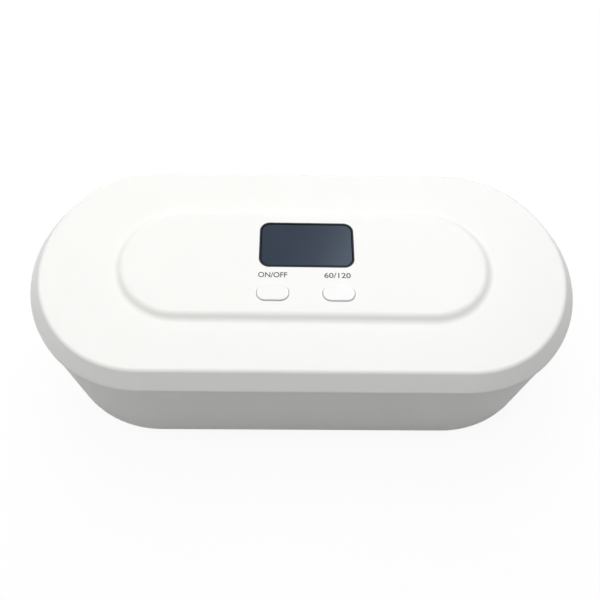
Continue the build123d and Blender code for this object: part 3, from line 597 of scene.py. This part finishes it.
def standing(name, section, stations, places, finish, body, way):
    """Small solids at places: the closed section is laid ring on ring, each raised and shrunk by its
    station's two numbers; the end rings shrink to a point, which closes the solid. They stand up where way
    is 1 and hang down where it is -1."""
    places = np.asarray(places)
    rings = np.zeros((len(places), len(stations), len(section), 3))
    rings[..., :2] = section * stations[:, 1, None, None]
    rings[..., 2] = way * MM * stations[:, 0, None]
    rings += places[:, None, None]
    ring = np.arange(len(places))[:, None, None] * len(stations) + np.arange(len(stations) - 1)[:, None]
    near = ring * len(section) + np.arange(len(section))
    far = ring * len(section) + (np.arange(len(section)) + 1) % len(section)
    quads = np.stack([near, far, far + len(section), near + len(section)], axis=-1)
    mesh = bpy.data.meshes.new(name)
    mesh.from_pydata(rings.reshape(-1, 3).tolist(), [], quads.reshape(-1, 4).tolist())
    shape = bmesh.new()
    shape.from_mesh(mesh)
    bmesh.ops.remove_doubles(shape, verts=shape.verts, dist=SMALL_MERGE_REACH)
    bmesh.ops.recalc_face_normals(shape, faces=shape.faces)
    shape.to_mesh(mesh)
    shape.free()
    mesh.shade_smooth()
    mesh.set_sharp_from_angle(angle=SMALL_SHARP_ANGLE)
    mesh.materials.append(finish)
    piece = bpy.data.objects.new(name, mesh)
    bpy.context.scene.collection.objects.link(piece)
    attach(piece, body)


def make_strip_pieces():
    """Lenses in the emitters' cups; between each two of a row, a resistor with its two terminals."""
    emitter_x = np.linspace(led_low.x + EMITTER_HALF * MM, led_high.x - EMITTER_HALF * MM, EMITTERS_IN_ROW)
    resistor_x = (emitter_x[1:] + emitter_x[:-1]) / 2
    rows_y = (led_low.y + EMITTER_HALF * MM, led_high.y - EMITTER_HALF * MM)
    lenses = [(x, y, led_low.z + CUP_DEPTH * MM) for y in rows_y for x in emitter_x]
    resistors = [(x, y, strip_z) for y in rows_y for x in resistor_x]
    terminals = [(x + side * TERMINAL_X * MM, y, z) for x, y, z in resistors for side in (-1, 1)]
    block = pillow(RESISTOR_HEIGHT, RESISTOR_EDGE)
    cap = pillow(TERMINAL_HEIGHT, TERMINAL_EDGE)
    standing("emitter_lenses", circle(LENS_R), dome(LENS_DROP), lenses, lens_clear(), "lid", way=-1)
    standing("strip_resistors", oblong(*RESISTOR), block, resistors, resistor_black(), "lid", way=-1)
    standing("resistor_terminals", oblong(*TERMINAL), cap, terminals, solder_tin(), "lid", way=-1)


def make_port_contacts():
    """Rows of contacts on both sides of the charge socket's tongue."""
    contact_x = (np.arange(CONTACT_COUNT) - (CONTACT_COUNT - 1) / 2) * CONTACT_PITCH * MM
    contact_y = port_low.y + CONTACT_Y * MM
    gold = contact_gold()
    plate = pillow(CONTACT_HEIGHT, CONTACT_EDGE)
    for side, name in ((1, "port_contacts_upper"), (-1, "port_contacts_lower")):
        contacts = [(x, contact_y, port_middle_z + side * TONGUE_TOP * MM) for x in contact_x]
        standing(name, oblong(*CONTACT), plate, contacts, gold, "lid", way=side)


# Finish and edge radius in millimetres of every construction piece
FINISHES = {
    shell_white: {"base_shell": 0.2, "lid_shell": 0.15},
    button_white: {"power_button": 0.1, "timer_button": 0.1},
    bezel_black: {"window_bezel": 0.06},
    window_smoke: {"display_window": 0.04},
    liner_bright: {"chamber_liner": 0.15},
    rack_white: {"tool_rack": 0.3},
    cover_white: {"lid_inner_cover": 0.15, "switch_housings": 0.1},
    steel_screw: {"liner_screws": 0.12, "lid_screws": 0.12, "board_screws": 0.12},
    steel_pin: {"hinge_pins": 0.15},
    rubber_grey: {"rubber_feet": 0.1},
    seal_black: {"light_seal": 0.3},
    magnet_nickel: {"base_magnets": 0.25, "sensor_magnet": 0.25, "lid_magnets": 0.25},
    cover_clear: {"led_covers": 0.1},
    board_white: {"led_boards": 0.05},
    emitter_yellow: {"uv_leds": 0.06},
    board_green: {"control_board": 0.08},
    chip_black: {"board_chips": 0.12, "hall_sensor": 0.1, "board_headers": 0.1},
    module_black: {"display_module": 0.06},
    port_steel: {"charge_port": 0.06},
    battery_silver: {"battery_pack": 0.4},
    plunger_black: {"power_plunger": 0.2, "timer_plunger": 0.2},
}


def make_camera():
    """Camera whose axes come from the direction back to it, turned by ROLL about that direction."""
    back = Vector((sin(TURN) * cos(ELEVATION), -cos(TURN) * cos(ELEVATION), sin(ELEVATION)))
    level = Vector((cos(TURN), sin(TURN), 0))
    upright = back.cross(level)
    right = cos(ROLL) * level + sin(ROLL) * upright
    up = cos(ROLL) * upright - sin(ROLL) * level
    data = bpy.data.cameras.new("camera")
    data.lens = FOCAL * data.sensor_width / IMAGE
    data.shift_x = (IMAGE / 2 - AXIS[0]) / IMAGE
    data.shift_y = (AXIS[1] - IMAGE / 2) / IMAGE
    camera = bpy.data.objects.new("camera", data)
    turned = Matrix((right, up, back)).transposed().to_4x4()
    camera.matrix_world = Matrix.Translation((Vector(TARGET) + back * DISTANCE) * MM) @ turned
    bpy.context.scene.collection.objects.link(camera)
    bpy.context.scene.camera = camera


def make_lamp(name, turn, rise, size, power, colour=WHITE, reflected_only=False):
    """Flat lamp aimed at the box from turn degrees round it and rise degrees up; turn 0 is behind it."""
    level = cos(radians(rise))
    out = Vector((sin(radians(turn)) * level, cos(radians(turn)) * level, sin(radians(rise))))
    data = bpy.data.lights.new(name, "AREA")
    data.shape = "RECTANGLE"
    data.size, data.size_y = size
    data.energy = power
    data.color = colour
    lamp = bpy.data.objects.new(name, data)
    lamp.location = out * LAMP_DISTANCE
    lamp.rotation_euler = (-out).to_track_quat("-Z", "Y").to_euler()
    lamp.visible_camera = False
    lamp.visible_glossy = reflected_only
    lamp.visible_diffuse = not reflected_only
    bpy.context.scene.collection.objects.link(lamp)


def ray_kinds(finish):
    """Two numbers: 1 for rays from the camera or through clear pieces, and 1 for rays from gloss; else 0."""
    path = finish.node("ShaderNodeLightPath")
    kinds = ("Camera", "Glossy", "Transmission")
    camera, gloss, clear = (Num(finish, path.outputs[f"Is {kind} Ray"]) for kind in kinds)
    return camera.largest(clear), gloss


def make_world():
    """White backdrop for what is seen, and a low even light from all round."""
    world = bpy.data.worlds.new("world")
    bpy.context.scene.world = world
    finish = Finish("world", world)
    seen, gloss = ray_kinds(finish)
    strength = AMBIENT + (1 - AMBIENT) * seen.largest(gloss)
    sky = finish.node("ShaderNodeBackground", {}, {"Color": WHITE, "Strength": strength})
    finish.node("ShaderNodeOutputWorld", {}, {"Surface": sky.outputs[0]})


def make_floor():
    """Pale paper that goes to white where it is seen and keeps the box's shadow; gloss shows it as it is lit
    near the box and white far off."""
    mesh = bpy.data.meshes.new("floor")
    corners = [(-FLOOR_HALF, -FLOOR_HALF, 0), (FLOOR_HALF, -FLOOR_HALF, 0), (FLOOR_HALF, FLOOR_HALF, 0),
               (-FLOOR_HALF, FLOOR_HALF, 0)]
    mesh.from_pydata(corners, [], [(0, 1, 2, 3)])
    floor = bpy.data.objects.new("floor", mesh)
    bpy.context.scene.collection.objects.link(floor)
    finish = Finish("floor_white")
    fibre = finish.noise(FIBRE_SIZE, detail=2)
    paper = finish.node("ShaderNodeBsdfDiffuse", {}, {"Color": finish.tint(fibre, PAPER_LOW, PAPER_HIGH)})
    glow = finish.node("ShaderNodeEmission", {}, {"Color": WHITE, "Strength": FLOOR_GLOW})
    x, y = finish.axes()[:2]
    far = (x * x + y * y).root().span(FLOOR_NEAR, FLOOR_FAR)
    share = FLOOR_SHARE + (1 - FLOOR_SHARE) * far
    seen, gloss = ray_kinds(finish)
    both = finish.node("ShaderNodeMixShader", {}, {0: (seen * share).largest(gloss * far)})
    finish.feed(both.inputs[1], paper.outputs[0])
    finish.feed(both.inputs[2], glow.outputs[0])
    finish.node("ShaderNodeOutputMaterial", {}, {"Surface": both.outputs[0]})
    mesh.materials.append(finish.owner)


for make, nodes in FINISHES.items():
    finish = make()
    for node, edge in nodes.items():
        softened(node, edge, finish)

ink = legend_ink()
for name, (text, x, length) in LEGENDS.items():
    legend(name, text, x, length, ink)
make_strip_pieces()
make_port_contacts()

make_camera()
make_world()
make_floor()
for name, settings in LAMPS.items():
    make_lamp(name, **settings)
bpy.context.scene.view_settings.view_transform = "Standard"
